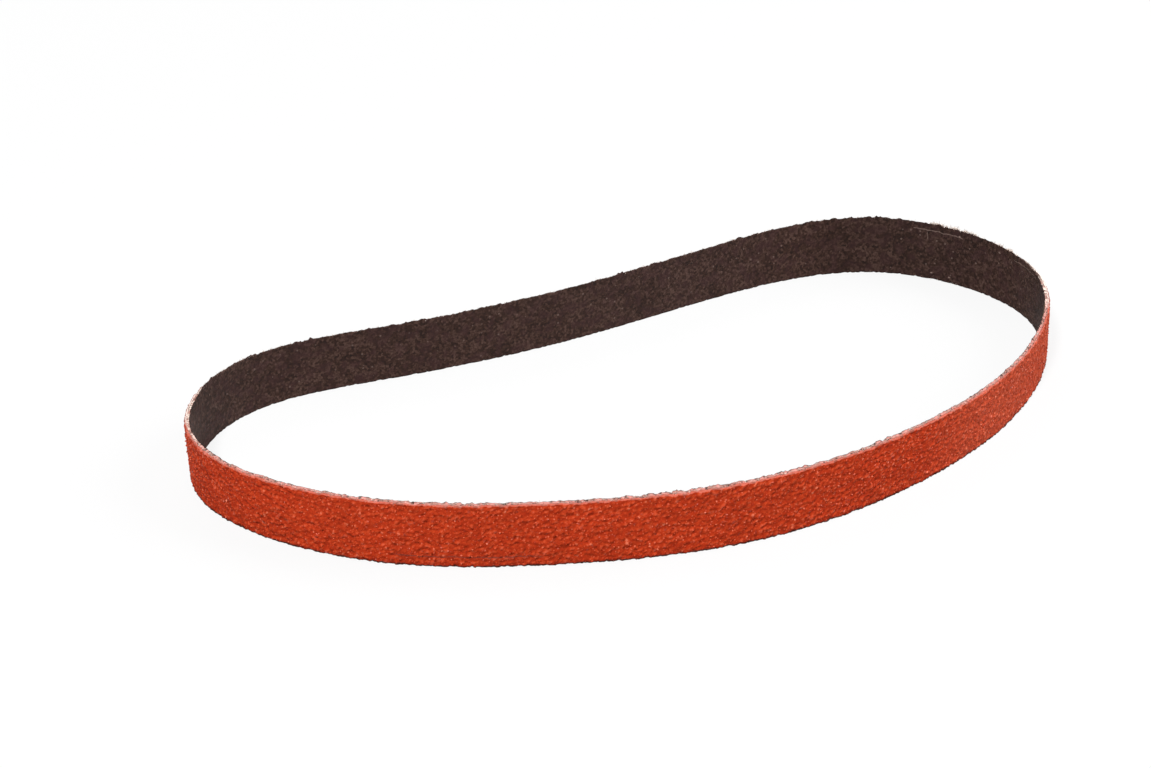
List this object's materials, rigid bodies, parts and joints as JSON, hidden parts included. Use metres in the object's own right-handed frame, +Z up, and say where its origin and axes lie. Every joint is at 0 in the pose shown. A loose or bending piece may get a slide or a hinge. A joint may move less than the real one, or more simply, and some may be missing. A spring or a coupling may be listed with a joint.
{
  "type": "sanding belt",
  "caption": "Narrow endless sanding belt, coarse orange grain outside on dark brown cloth, standing on one edge as a relaxed kidney-shaped loop.",
  "frame": {"origin": "on the floor under the middle of the belt's overall box, inside the loop", "axes": "+X along the loop's length in plan, towards its wider end; +Z up, across the belt's width; +Y towards the run that curves inward"},
  "size_m": [0.1876, 0.0948, 0.0127],
  "materials": {
    "backing_cloth": "resin-filled",
    "abrasive_grain": "matte",
    "joint_film": "satin"
  },
  "bodies": {
    "root": {"cloth_backing": "backing_cloth", "abrasive_coat": "abrasive_grain", "splice_tape": "joint_film"}
  },
  "joints": []
}
